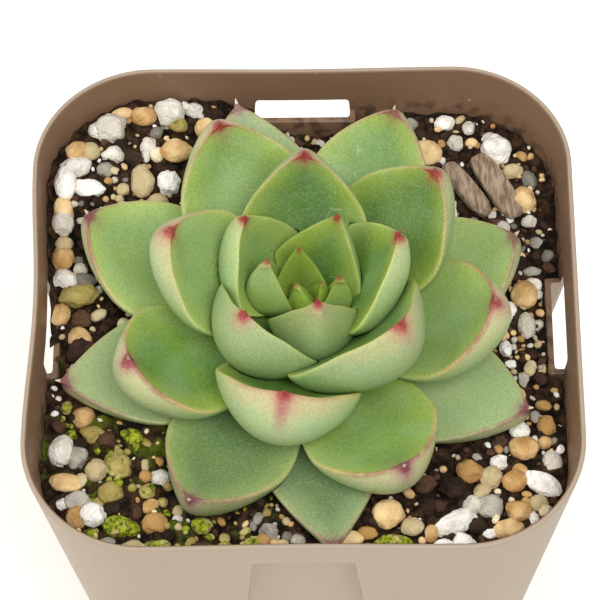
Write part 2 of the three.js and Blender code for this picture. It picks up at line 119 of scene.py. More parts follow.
# Each curve is a list of (leaf number, value), from the bud outwards
TIP_RADIUS = [
    (0, 0.4), (3, 1.9), (5, 3.1), (8, 6.2), (12, 12), (17, 20.6), (22, 28), (25, 31), (30, 32.2),
]
TIP_HEIGHT = [
    (0, 75.4), (2, 76.6), (3, 78.8), (5, 81.3), (8, 83.4), (11, 85.3), (14, 86.2), (16, 85.3),
    (18, 83.2), (20, 80.4), (22, 77.5), (24, 75.1), (26, 73), (28, 71.3), (30, 69.9),
]
BASE_RADIUS = [(0, 0.3), (10, 1.8), (20, 3.2), (30, 4.2)]
BASE_HEIGHT = [(0, 73.6), (10, 71.5), (20, 70.2), (30, 69.2)]
WIDTH = [
    (0, 2), (3, 3.6), (5, 6.5), (8, 12), (12, 15.5), (14, 17.5), (22, 17.6), (26, 16.8), (30, 16.5),
]
THICKNESS = [(0, 1), (3, 2.4), (5, 3.2), (10, 4.4), (13, 5.4), (18, 6), (25, 5.6), (30, 4.4)]
CURL = [(0, 10), (6, 30), (9, 50), (12, 64), (18, 66), (22, 60), (26, 45), (30, 20)]
CURL_TO_TIP = [(0, 0.6), (11, 0.6), (13, 1.5), (20, 2.1), (25, 2.2), (30, 1.6)]
CHANNEL = [(0, 0.3), (10, 0.24), (20, 0.16), (30, 0.08)]
WIDEST_AT = [(0, 0.3), (8, 0.38), (13, 0.52), (20, 0.62), (25, 0.6), (30, 0.52)]
TAPER_BULGE = [(0, 1.2), (8, 1.3), (20, 1.9), (30, 1.45)]
TAPER_ROUND = [(0, 0.95), (13, 0.8), (20, 0.78), (30, 0.9)]
THINNER_FROM = [(0, 0.1), (7, 0.15), (10, 0.3), (15, 0.55)]

# How single leaves differ from the curves
OWN_SHAPE = {
    3: {"swing": -48},
    4: {"reach": -0.8, "rise": -1, "swing": -25, "width": 3.7, "thickness": 3.8, "roll": 28},
    5: {"reach": -0.5, "swing": 7, "width": 6.9, "curl": 28, "roll": 5},
    6: {"width": 3.5, "thickness": 3.8, "roll": 12},
    7: {"reach": -0.3, "swing": -12, "width": 6.7, "thickness": 5.5, "curl": 23, "roll": -36},
    8: {"rise": 0.5, "width": 12.8, "curl": 34},
    9: {"reach": -1.1, "rise": -0.6, "width": 12, "thickness": 5.7, "curl": 52, "roll": 16},
    10: {"swing": 8.5, "width": 14.8, "thickness": 5.2, "curl": 59, "roll": -15, "bow": -0.7},
    11: {"reach": 0.4, "swing": 4, "width": 17, "thickness": 5.1, "curl": 33, "roll": 15, "bow": 0.6},
    12: {"rise": -0.5, "swing": 2, "width": 16.6, "thickness": 5.7, "curl": 66, "to_tip": 0.5},
    13: {"reach": -0.8, "swing": 3, "curl": 50},
    14: {
        "reach": 0.3, "rise": 0.4, "width": 21.7, "thickness": 6.3, "widest": 0.45,
        "curl": 54, "to_tip": 0.4, "roll": 8, "bow": 0.6,
    },
    15: {"swing": -3, "curl": 56, "thickness": 5.4},
    16: {"swing": -4, "curl": 54, "thickness": 5.4},
    17: {
        "reach": -1.3, "rise": -0.7, "width": 18.7, "thickness": 6.7,
        "curl": 72, "to_tip": 0.9, "roll": 3.5, "bow": 0.4,
    },
    18: {"reach": 0.4, "swing": -4},
    21: {"reach": 0.5, "swing": -7, "width": 16.5},
    23: {"reach": 0.8},
    24: {"reach": -1.9, "swing": -3},
    27: {"swing": 4, "forward": 1},
    28: {"swing": 6, "forward": 1.2},
}
SPIKE_LENGTH = 1.1
SPIKE_RADIUS = 0.42
SMALLEST_SPIKE = 0.3
SPIKE_GROWS = 14
LEAF_RINGS = 44
UNDER_STEPS = 34
UPPER_STEPS = 22
MARGIN_SMOOTHING = 6
ARC_STEPS = 60
LEAF_GAP = 0.04
LEAF_WAVE = 0.16
LEAF_WAVE_SIZE = 6
UNDER_ROUNDNESS = 1.24
SPIKE_DEPTH = 1.7
FLATTENS_FROM = 0.75
FLATTER_AT_TIP = 0.8
BUD_LEAVES = 8
OLD_LEAVES = 26

# Colour marks on single leaves, as strengths: the red at the tip, the blush under it,
# the line on the margin to the right and to the left of the leaf as seen from its base,
# and the painted light (above 0) or painted shade (below 0) laid on the whole leaf, for how much light
# it catches
MARKS = {
    5: (0.55, 0.0, 0.0, 0.0, -0.4),
    6: (0.8, 0.0, 0.0, 0.0, -0.2),
    7: (0.75, 0.0, 0.0, 0.0, -0.3),
    8: (0.9, 0.1, 0.0, 0.0, -0.4),
    9: (1.0, 0.25, 0.0, 0.0, -0.5),
    10: (1.0, 0.1, 0.0, 0.0, 0.5),
    11: (1.0, 0.15, 0.0, 0.0, 0),
    12: (1.1, 0.15, 0.0, 0.0, -0.45),
    13: (1.0, 0.2, 0.3, 0.3, -0.5),
    14: (1.2, 0.6, 0.0, 0.2, -0.45),
    15: (1.1, 0.7, 0.4, 0.2, 0.75),
    16: (1.0, 0.3, 0.5, 0.3, -0.5),
    17: (1.1, 1.0, 0.5, 0.5, 0),
    18: (1.1, 0.5, 0.6, 0.6, 0.5),
    19: (1.1, 0.7, 1.0, 0.9, 0.65),
    20: (1.4, 0.6, 0.5, 1.0, 0.1),
    21: (0.8, 0.4, 0.6, 0.6, 0.15),
    22: (1.1, 0.7, 0.9, 0.9, 0.35),
    23: (0.9, 0.5, 0.5, 1.0, 0.6),
    24: (0.7, 0.4, 0.7, 0.4, 0.9),
    25: (0.8, 0.3, 0.9, 0.9, -0.6),
    26: (0.8, 0.3, 0.4, 0.4, -0.5),
    27: (0.9, 0.3, 1.0, 0.4, 0.35),
    28: (0.9, 0.3, 0.4, 1.0, 0.1),
    30: (0.8, 0.2, 0.7, 0.7, -0.7),
}
PLAIN_MARKS = (0.4, 0, 0, 0, 0)


def clamp01(value):
    return np.clip(value, 0, 1)


def smooth(value):
    t = clamp01(value)
    return t * t * (3 - 2 * t)


def along(knots, at):
    places, values = zip(*knots)
    return float(np.interp(at, places, values))


def noise_at(points, size, seed=0):
    """Smooth noise from about -1 to 1 at each point, with features of that size."""
    shift = Vector((7.31, 3.17, 5.73)) * seed
    return np.array([noise.noise(Vector(p) / size + shift) for p in points])


# Meshes

def mesh_object(name, points, faces):
    """A smooth-shaded mesh object from points in millimetres."""
    mesh = bpy.data.meshes.new(name)
    mesh.from_pydata((np.asarray(points) * MM).tolist(), [], faces)
    mesh.update()
    mesh.polygons.foreach_set("use_smooth", [True] * len(mesh.polygons))
    obj = bpy.data.objects.new(name, mesh)
    bpy.context.scene.collection.objects.link(obj)
    return obj


def loft(rings):
    """Rings of equally many points, joined into a closed body."""
    rings = np.asarray(rings, float)
    ring_count, count = rings.shape[:2]
    points = rings.reshape(-1, 3)
    start = np.arange(ring_count - 1)[:, None] * count
    here = np.arange(count)
    after = (here + 1) % count
    walls = np.stack(
        [start + here, start + after, start + after + count, start + here + count], -1
    ).reshape(-1, 4)
    first, last = len(points), len(points) + 1
    points = np.vstack([points, rings[0].mean(0), rings[-1].mean(0)])
    end = (ring_count - 1) * count
    caps = [(first, int(b), int(a)) for a, b in zip(here, after)]
    caps += [(last, int(end + a), int(end + b)) for a, b in zip(here, after)]
    return points, walls.tolist() + caps


def combined(obj, other, operation):
    """obj cut or joined with other."""
    change = obj.modifiers.new("change", "BOOLEAN")
    change.operation = operation
    change.solver = "MANIFOLD"
    change.object = other
    result = bpy.data.meshes.new_from_object(
        obj.evaluated_get(bpy.context.evaluated_depsgraph_get())
    )
    obj.modifiers.clear()
    obj.data = result


def remove(obj):
    bpy.data.objects.remove(obj)


def sharpen(obj, angle=40):
    """Edges steeper than the angle stay crisp."""
    obj.data.polygons.foreach_set("use_smooth", [True] * len(obj.data.polygons))
    obj.data.set_sharp_from_angle(angle=math.radians(angle))


def give(obj, name, values, domain="POINT"):
    attribute = obj.data.attributes.get(name) or obj.data.attributes.new(name, "FLOAT", domain)
    attribute.data.foreach_set("value", np.asarray(values, np.float32))


def finish_piece(obj, material, slot, *nodes):
    obj.data.materials.clear()
    obj.data.materials.append(material)
    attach(obj, "root")
    if nodes:
        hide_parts(*nodes)


# Materials

def colour(hex_code):
    """An sRGB colour code as the linear colour that shaders use."""
    parts = [int(hex_code[i:i + 2], 16) / 255 for i in (1, 3, 5)]
    return [p / 12.92 if p <= 0.04045 else ((p + 0.055) / 1.055) ** 2.4 for p in parts] + [1]


class Shader:
    """A material being built: each method adds a node and returns its output socket."""

    def __init__(self, name, roughness=0.6, specular=0.4):
        self.material = bpy.data.materials.new(name)
        self.material.use_nodes = True
        self.nodes = self.material.node_tree.nodes
        self.links = self.material.node_tree.links
        self.surface = self.nodes["Principled BSDF"]
        self.surface.inputs["Roughness"].default_value = roughness
        self.surface.inputs["Specular IOR Level"].default_value = specular
        self.place = self.nodes.new("ShaderNodeTexCoord").outputs["Object"]

    def feed(self, socket, value):
        if isinstance(value, bpy.types.NodeSocket):
            self.links.new(value, socket)
        elif isinstance(value, str):
            socket.default_value = colour(value)
        else:
            socket.default_value = value

    def read(self, name):
        node = self.nodes.new("ShaderNodeAttribute")
        node.attribute_name = name
        return node.outputs["Fac"]

    def math(self, operation, a, b=0.0):
        node = self.nodes.new("ShaderNodeMath")
        node.operation = operation
        for socket, value in zip(node.inputs, (a, b)):
            self.feed(socket, value)
        return node.outputs[0]

    def times(self, *values):
        total = values[0]
        for value in values[1:]:
            total = self.math("MULTIPLY", total, value)
        return total

    def step(self, value, low, high):
        """0 at low to 1 at high, with soft ends; low may be the larger."""
        node = self.nodes.new("ShaderNodeMapRange")
        node.interpolation_type = "SMOOTHSTEP"
        for socket, given in zip(node.inputs, (value, low, high)):
            self.feed(socket, given)
        if low > high:
            node.inputs[1].default_value = high
            node.inputs[2].default_value = low
            node.inputs[3].default_value = 1
            node.inputs[4].default_value = 0
        return node.outputs[0]

    def mix(self, share, a, b):
        node = self.nodes.new("ShaderNodeMix")
        node.data_type = "RGBA"
        node.clamp_factor = True
        self.feed(node.inputs["Factor"], share)
        colours = [s for s in node.inputs if s.type == "RGBA"]
        self.feed(colours[0], a)
        self.feed(colours[1], b)
        return [s for s in node.outputs if s.type == "RGBA"][0]

    def noise(self, size, detail=2.0, stretch=None):
        """Noise from 0 to 1 with features of that size in millimetres."""
        node = self.nodes.new("ShaderNodeTexNoise")
        node.inputs["Scale"].default_value = 1 / (size * MM)
        node.inputs["Detail"].default_value = detail
        self.links.new(self.stretched(stretch), node.inputs["Vector"])
        return node.outputs["Fac"]

    def cells(self, size, feature="F1", stretch=None):
        node = self.nodes.new("ShaderNodeTexVoronoi")
        node.feature = feature
        node.inputs["Scale"].default_value = 1 / (size * MM)
        self.links.new(self.stretched(stretch), node.inputs["Vector"])
        return node.outputs["Distance"]

    def stretched(self, stretch):
        if stretch is None:
            return self.place
        node = self.nodes.new("ShaderNodeMapping")
        node.inputs["Scale"].default_value = stretch
        self.links.new(self.place, node.inputs["Vector"])
        return node.outputs[0]

    def bump(self, *layers):
        """Layers of (height from 0 to 1, depth in millimetres)."""
        total = None
        for height, depth in layers:
            part = self.times(height, depth * MM)
            total = part if total is None else self.math("ADD", total, part)
        node = self.nodes.new("ShaderNodeBump")
        node.inputs["Strength"].default_value = 1
        node.inputs["Distance"].default_value = 1
        self.links.new(total, node.inputs["Height"])
        self.links.new(node.outputs[0], self.surface.inputs["Normal"])

    def paint(self, base, roughness=None):
        self.feed(self.surface.inputs["Base Color"], base)
        if roughness is not None:
            self.feed(self.surface.inputs["Roughness"], roughness)
        return self.material


def leaf_material():
    s = Shader("leaf_skin", roughness=0.42, specular=0.45)
    tip = s.read("tip")
    away = s.read("away")
    keel = s.read("keel")
    edge = s.read("edge")
    number = s.read("number")
    red = s.read("red")
    blush = s.read("blush")
    line = s.read("line")
    # Painted light and shade laid over whole leaves, one level per leaf: below 0 darkens towards deep
    # green as painted shade, above 0 lightens as painted light
    painted_light_level = s.read("painted_light_level")
    painted_shade_share = s.times(s.step(painted_light_level, 0.0, -1.0), 0.8)
    painted_light_share = s.times(s.step(painted_light_level, 0.0, 1.0), 0.4)
    young = s.step(number, 12.5, 3.0)
    old = s.step(number, 22.5, 27.0)
    outer = s.step(number, 17.0, 23.0)
    upper = s.step(edge, -0.3, 0.3)
    rim = s.step(s.math("ABSOLUTE", edge), 5.4, 0.2)
    from_keel = s.math("ABSOLUTE", keel)
    cloud = s.noise(5.5, 3)
    drift = s.noise(9.0, 2, (1.0, 1.3, 0.8))
    speckle = s.noise(0.26, 3)
    grain = s.noise(0.9, 3)

    # Upper face: deep green, yellower towards the rim, greyer and paler on old leaves
    face = s.mix(young, "#56802f", "#527a0c")
    face = s.mix(outer, face, "#6a8f3b")
    face = s.mix(old, face, "#95ab78")
    face = s.mix(s.times(rim, 0.8), face, s.mix(old, "#a3b64a", "#9bab78"))
    plain = s.math("SUBTRACT", 1.0, s.times(young, 0.8))
    face = s.mix(s.times(s.step(drift, 0.4, 0.62), plain, 0.4), face, s.mix(old, "#88a046", "#a3b07a"))
    face = s.mix(s.times(s.step(cloud, 0.42, 0.7), plain, 0.35), face, "#88a77c")
    # Painted shade on the upper face, weaker near the rim, then painted light
    centre = s.math("SUBTRACT", 1.0, s.times(rim, 0.6))
    face = s.mix(s.times(painted_shade_share, centre), face, "#1c4412")
    face = s.mix(painted_light_share, face, "#b4cc88")

    # Under face: pale and waxy, creamier towards the tip
    back = s.mix(young, "#8eae66", "#7b9c2e")
    back = s.mix(outer, back, "#9fb97a")
    back = s.mix(old, back, "#95ab76")
    back = s.mix(s.times(s.step(tip, 12.0, 1.5), 0.6), back, s.mix(young, "#c3d19c", "#98b148"))
    back = s.mix(s.times(s.step(cloud, 0.4, 0.7), 0.4), back, "#a3bf98")
    # Painted shade on the under face as well
    back = s.mix(painted_shade_share, back, "#4f6b33")

    skin = s.mix(upper, back, face)
    # Pale band on the margin's crest: partly the margin's own paler colour, partly a painted highlight
    # on the glossy ridge
    crest_colour_and_highlight = s.step(s.math("ABSOLUTE", s.math("SUBTRACT", edge, 0.15)), 0.9, 0.0)
    skin = s.mix(s.times(crest_colour_and_highlight, 0.35), skin, s.mix(young, "#bdc774", "#a3bc48"))

    # Blush: a warm band below the margin near the tip, and a streak down the keel
    below = s.times(s.step(edge, -4.2, -0.7), s.step(edge, 0.5, 0.1), s.step(tip, 9.0, 1.0))
    warm = s.times(below, blush, s.step(grain, 0.1, 0.5))
    skin = s.mix(s.times(warm, 0.55), skin, "#cda67c")
    under_tip = s.math("SUBTRACT", 1.0, s.times(upper, 0.9))
    halo = s.times(s.step(from_keel, 4.2, 0.2), s.step(away, 7.0, 0.5), blush, under_tip)
    skin = s.mix(s.times(halo, s.step(grain, 0.1, 0.55), 0.6), skin, s.mix(outer, "#c08a78", "#b08484"))
    streak = s.times(s.step(from_keel, 1.4, 0.1), s.step(away, 6.5, 1.5))
    streak = s.times(streak, s.step(blush, 0.5, 1.0), under_tip)
    skin = s.mix(s.times(streak, s.step(grain, 0.0, 0.5), 0.8), skin, "#99505c")

    # Line along the margin near the tip
    trace = s.step(s.math("ABSOLUTE", s.math("SUBTRACT", edge, 0.1)), 0.85, 0.05)
    trace = s.times(trace, s.step(tip, 15.0, 2.0), line, s.step(grain, 0.1, 0.55))
    warm_line = s.mix(s.step(tip, 6.5, 2.5), "#c08a63", "#98384a")
    skin = s.mix(s.times(trace, 0.75), skin, s.mix(old, warm_line, "#8a5a62"))

    # Red round the very tip, with a soft border, smaller on the inner leaves
    slim = s.math("ADD", 0.25, s.times(young, 0.9))
    reach = s.math("ADD", s.math("SUBTRACT", away, 0.35), s.times(from_keel, slim))
    reach = s.times(reach, s.math("ADD", 1.0, s.times(young, 1.2)))
    along_margin = s.times(s.step(edge, 0.9, 0.1), upper, s.step(number, 9.0, 14.0))
    reach = s.math("SUBTRACT", reach, s.times(along_margin, 1.1))
    reach = s.math("ADD", reach, s.times(s.math("SUBTRACT", grain, 0.5), 0.8))
    border = s.times(s.step(reach, 3.2, 0.6), red)
    skin = s.mix(s.times(border, 0.45), skin, s.mix(outer, "#a86152", "#99606a"))
    spot = s.times(s.step(reach, 1.55, 0.2), red)
    skin = s.mix(spot, skin, s.mix(outer, "#98202a", "#7c2d49"))

    # Dry end of the spike on the older leaves
    dry = s.times(s.step(tip, -0.2, -0.55), outer)
    skin = s.mix(dry, skin, "#e6cfba")

    # Fine pale speckles and a few scratches in the bloom
    skin = s.mix(s.times(s.step(speckle, 0.4, 0.8), plain, 0.2), skin, "#bccb9a")
    skin = s.mix(s.times(s.step(speckle, 0.6, 0.2), 0.3), skin, "#44691c")
    scratch = s.step(s.cells(9.0, "DISTANCE_TO_EDGE", (1.0, 1.7, 1.3)), 0.009, 0.0)
    scratch = s.times(scratch, s.step(s.noise(3.1, 1), 0.6, 0.7), upper)
    skin = s.mix(s.times(scratch, 0.4), skin, "#c3d0b0")
    s.bump((speckle, 0.02), (grain, 0.03))
    return s.paint(skin, s.math("ADD", 0.36, s.times(cloud, 0.2)))


def pot_material():
    s = Shader("pot_plastic", roughness=0.42, specular=0.5)
    inside = s.read("inside")
    height = s.read("height")
    wide = s.noise(14, 3)
    fine = s.noise(0.7, 3)
    body = s.mix(s.times(wide, 0.5), "#a2917f", "#978673")
    # Painted shade on the pot's inside faces: darker and redder than the outer plastic, in place of the
    # shade and the light bounced from the soil
    inside_painted_shade = s.mix(s.times(wide, 0.6), "#83664f", "#725541")
    plastic = s.mix(inside, body, inside_painted_shade)
    dirt = s.times(s.step(height, 70.5, 66.0), s.step(s.noise(1.6, 4), 0.45, 0.62), inside)
    plastic = s.mix(s.times(dirt, 0.8), plastic, "#3b2a1e")
    dust = s.times(s.step(s.cells(2.3), 0.12, 0.05), s.step(s.noise(2.7, 1), 0.56, 0.66), inside)
    plastic = s.mix(s.times(dust, 0.45), plastic, "#d8cdb9")
    s.bump((fine, 0.015), (s.noise(0.5, 2, (0.05, 0.05, 1.0)), 0.02))
    return s.paint(plastic, s.math("ADD", 0.36, s.times(fine, 0.2)))


def soil_material():
    s = Shader("peat", roughness=0.95, specular=0.15)
    crumb = s.noise(1.4, 5)
    earth = s.mix(s.step(crumb, 0.38, 0.7), "#1a130d", "#4a3424")
    earth = s.mix(s.times(s.step(s.noise(0.6, 3), 0.6, 0.8), 0.5), earth, "#6d4c34")
    split = s.nodes.new("ShaderNodeSeparateXYZ")
    s.links.new(s.place, split.inputs[0])
    left = s.step(split.outputs[0], 0.002, -0.014)
    front = s.step(split.outputs[1], 0.0, -0.014)
    moss = s.times(left, front, s.step(s.noise(3.6, 4), 0.5, 0.66))
    earth = s.mix(s.times(moss, 0.8), earth, s.mix(s.noise(0.8, 3), "#39460f", "#6c7a1a"))
    s.bump((crumb, 0.35), (s.noise(0.4, 4), 0.2))
    return s.paint(earth)


def stone_material(name, dark, light, spot, spot_share, pit_size, pit_depth, moss=0.0):
    s = Shader(name, roughness=0.88, specular=0.25)
    tone = s.read("tone")
    broad = s.noise(2.2, 4)
    stone = s.mix(s.step(s.math("ADD", broad, s.times(tone, 0.3)), 0.3, 0.85), dark, light)
    spots = s.step(s.noise(0.7, 3), 0.75 - spot_share, 0.95 - spot_share)
    stone = s.mix(spots, stone, spot)
    if moss:
        patch = s.step(s.math("ADD", s.noise(1.5, 4), s.times(tone, 0.25)), 0.62 - moss, 0.8 - moss)
        green = s.mix(s.step(s.noise(0.5, 3), 0.35, 0.65), "#3f5410", "#a3a821")
        stone = s.mix(patch, stone, green)
    pits = s.noise(pit_size, 4)
    s.bump((pits, pit_depth), (s.noise(pit_size * 3, 2), pit_depth))
    return s.paint(stone)


def bark_material():
    s = Shader("bark_grain", roughness=0.85, specular=0.2)
    grain = s.noise(0.5, 4, (1.0, 0.25, 1.0))
    wood = s.mix(s.step(grain, 0.3, 0.7), "#75614f", "#b19c87")
    wood = s.mix(s.times(s.step(s.noise(2.4, 3), 0.55, 0.75), 0.6), wood, "#9a6248")
    s.bump((grain, 0.25))
    return s.paint(wood)


# Pot

def pot_ring(z, inset):
    """Outline of the pot at height z, drawn in by inset from the outer face, counter-clockwise."""
    down = POT_HEIGHT - z
    half = RIM_HALF - TAPER * down - inset
    corner = RIM_CORNER - CORNER_TAPER * down - inset
    straight = half - corner
    fade = z / POT_HEIGHT
    points = []
    for quarter, bow in enumerate(SIDE_BOW.values()):
        turn = Matrix.Rotation(quarter * math.pi / 2, 2)
        for i in range(SIDE_STEPS):
            t = 2 * i / SIDE_STEPS - 1
            reach = half + bow * fade * math.cos(t * math.pi / 2) ** 2
            points.append(turn @ Vector((reach, t * straight)))
        for i in range(CORNER_STEPS):
            angle = i / CORNER_STEPS * math.pi / 2
            spot = Vector((straight + corner * math.cos(angle), straight + corner * math.sin(angle)))
            points.append(turn @ spot)
    return [(p.x, p.y, z) for p in points]


def pot_body(name, *levels):
    """A closed body through the pot's outline at each (height, inset)."""
    return mesh_object(name, *loft([pot_ring(z, inset) for z, inset in levels]))


def wall_wedges(top, depth, extra_width, softness):
    """One body with the wedge in the middle of each wall, up to a height and in from the wall."""
    beyond = 6
    below = -1
    whole = None
    for quarter in range(4):
        turn = Matrix.Rotation(quarter * math.pi / 2, 3, "Z")
        rings = []
        levels = [(below, 0), (top - softness, 0), (top - softness / 4, softness / 4), (top, softness)]
        for z, narrower in levels:
            face = RIM_HALF - TAPER * (POT_HEIGHT - z)
            across = (RECESS_TOP - z) / RECESS_TOP
            half = RECESS_HALF_TOP + (RECESS_HALF_BASE - RECESS_HALF_TOP) * across + extra_width
            half -= narrower
            bottom = face - depth + narrower / 2
            side = [
                (bottom, half - softness),
                (bottom + softness / 4, half - softness / 4),
                (bottom + softness, half),
                (face - softness, half),
                (face - softness / 4, half + softness / 4),
                (face + softness / 4, half + softness),
                (face + beyond, half + softness),
            ]
            section = [(x, -y) for x, y in side] + [(x, y) for x, y in reversed(side)]
            rings.append([tuple(turn @ Vector((x, y, z))) for x, y in section])
        wedge = mesh_object("wedge", *loft(rings))
        if whole is None:
            whole = wedge
        else:
            combined(whole, wedge, "UNION")
            remove(wedge)
    return whole


def cylinder(radius, x, y, low, high, steps=32):
    ring = [(math.cos(a), math.sin(a)) for a in np.linspace(0, 2 * math.pi, steps, endpoint=False)]
    return mesh_object(
        "hole", *loft([[(x + radius * c, y + radius * s, z) for c, s in ring] for z in (low, high)])
    )


def faces_inward(face):
    """Whether a face of the pot is seen from inside it."""
    centre, normal = face.center, face.normal
    across = 0 if abs(centre.x) < abs(centre.y) else 1
    sideways = normal[across] * math.copysign(1, centre[across])
    if abs(sideways) > 0.5 and abs(centre[across]) < (RECESS_HALF_BASE + 2) * MM:
        return sideways > 0
    outward = normal.dot(Vector((centre.x, centre.y, 0)).normalized())
    below_rim = centre.z < RECESS_TOP * MM
    return outward < -0.2 or (outward < 0.2 and below_rim and normal.z > 0)


def make_pot():
    lip = [(1 - math.cos(a), math.sin(a)) for a in np.linspace(0, math.pi / 2, 5)]
    outer = [(0, 0.25), (0.25, 0)] + [
        (POT_HEIGHT - LIP_ROUND * (1 - up), LIP_ROUND * away) for away, up in lip
    ]
    inner = [(FLOOR_TOP, WALL + 0.8), (FLOOR_TOP + 0.8, WALL)] + [
        (POT_HEIGHT - LIP_ROUND * (1 - up), WALL - LIP_ROUND * away) for away, up in lip
    ]
    inner.append((POT_HEIGHT + 1, WALL - LIP_ROUND))
    pot = pot_body("pot_shell", *outer)
    recess = wall_wedges(RECESS_TOP, RECESS_DEPTH, 0, 0.5)
    combined(pot, recess, "DIFFERENCE")
    inside = pot_body("inside", *inner)
    bumps = wall_wedges(PANEL_TOP, RECESS_DEPTH + WALL, WALL, 0.3)
    combined(inside, bumps, "DIFFERENCE")
    cuts = [inside, pot_body("under_floor", (-1, FOOT_WIDTH), (FLOOR_BOTTOM, FOOT_WIDTH))]
    spots = [(CENTRE_HOLE, 0, 0)]
    for sx in (-1, 1):
        for sy in (-1, 1):
            spots.append((CORNER_HOLE, sx * CORNER_HOLE_AT, sy * CORNER_HOLE_AT))
    cuts += [cylinder(radius, x, y, -FLOOR_TOP, 2 * FLOOR_TOP) for radius, x, y in spots]
    for cut in cuts:
        combined(pot, cut, "DIFFERENCE")
    for spare in cuts + [recess, bumps]:
        remove(spare)
    sharpen(pot, 35)
    give(pot, "inside", [float(faces_inward(face)) for face in pot.data.polygons], "FACE")
    give(pot, "height", [v.co.z / MM for v in pot.data.vertices])
    return pot


def inside_gap(x, y, z):
    """How far a point is inside the pot's inner face, in millimetres, and the way inwards."""
    down = POT_HEIGHT - z
    half = RIM_HALF - TAPER * down - WALL
    corner = RIM_CORNER - CORNER_TAPER * down - WALL
    half_x = half + (SIDE_BOW["left"] if x < 0 else SIDE_BOW["right"])
    half_y = half + SIDE_BOW["front"]
    over = Vector((abs(x) - half_x + corner, abs(y) - half_y + corner))
    if over.x > 0 and over.y > 0:
        inward = Vector((-math.copysign(over.x, x), -math.copysign(over.y, y))).normalized()
        return corner - over.length, inward
    if over.x > over.y:
        return corner - over.x, Vector((-math.copysign(1, x), 0))
    return corner - over.y, Vector((0, -math.copysign(1, y)))


# Leaves

def leaf_arc(base, tip, curl, to_tip):
    """Length, and points and slopes along a leaf whose slope rises by the curl."""
    share = np.linspace(0, 1, ARC_STEPS + 1)
    slopes = math.radians(curl) * share ** to_tip
    middle = (slopes[1:] + slopes[:-1]) / 2
    flat = np.zeros((ARC_STEPS + 1, 2))
    flat[1:] = np.cumsum(np.stack([np.cos(middle), np.sin(middle)], 1), 0) / ARC_STEPS
    across = math.hypot(tip[0] - base[0], tip[1] - base[1])
    rise = tip[2] - base[2]
    ahead = np.array([(tip[0] - base[0]) / across, (tip[1] - base[1]) / across, 0])
    length = math.hypot(across, rise) / math.hypot(*flat[-1])
    tilt = math.atan2(rise, across) - math.atan2(flat[-1][1], flat[-1][0])
    turn = np.array([[math.cos(tilt), math.sin(tilt)], [-math.sin(tilt), math.cos(tilt)]])
    flat = length * flat @ turn
    points = base + flat[:, :1] * ahead
    points[:, 2] += flat[:, 1]
    return length, ahead, share, points, slopes + tilt


def width_share(s, widest, bulge, rounding):
    narrow = 0.25
    rising = narrow + (1 - narrow) * np.sin(math.pi / 2 * clamp01(s / widest)) ** 1.1
    falling = (1 - clamp01((s - widest) / (1 - widest)) ** bulge) ** rounding
    return np.where(s <= widest, rising, falling)


def thickness_share(s, thinner_from):
    thin = 0.38
    body = thin + (1 - thin) * np.sin(math.pi / 2 * clamp01(s / 0.6))
    toward_tip = clamp01((s - thinner_from) / (1 - thinner_from))
    return body * (1 - toward_tip ** (1 + 3.6 * thinner_from)) ** 0.6


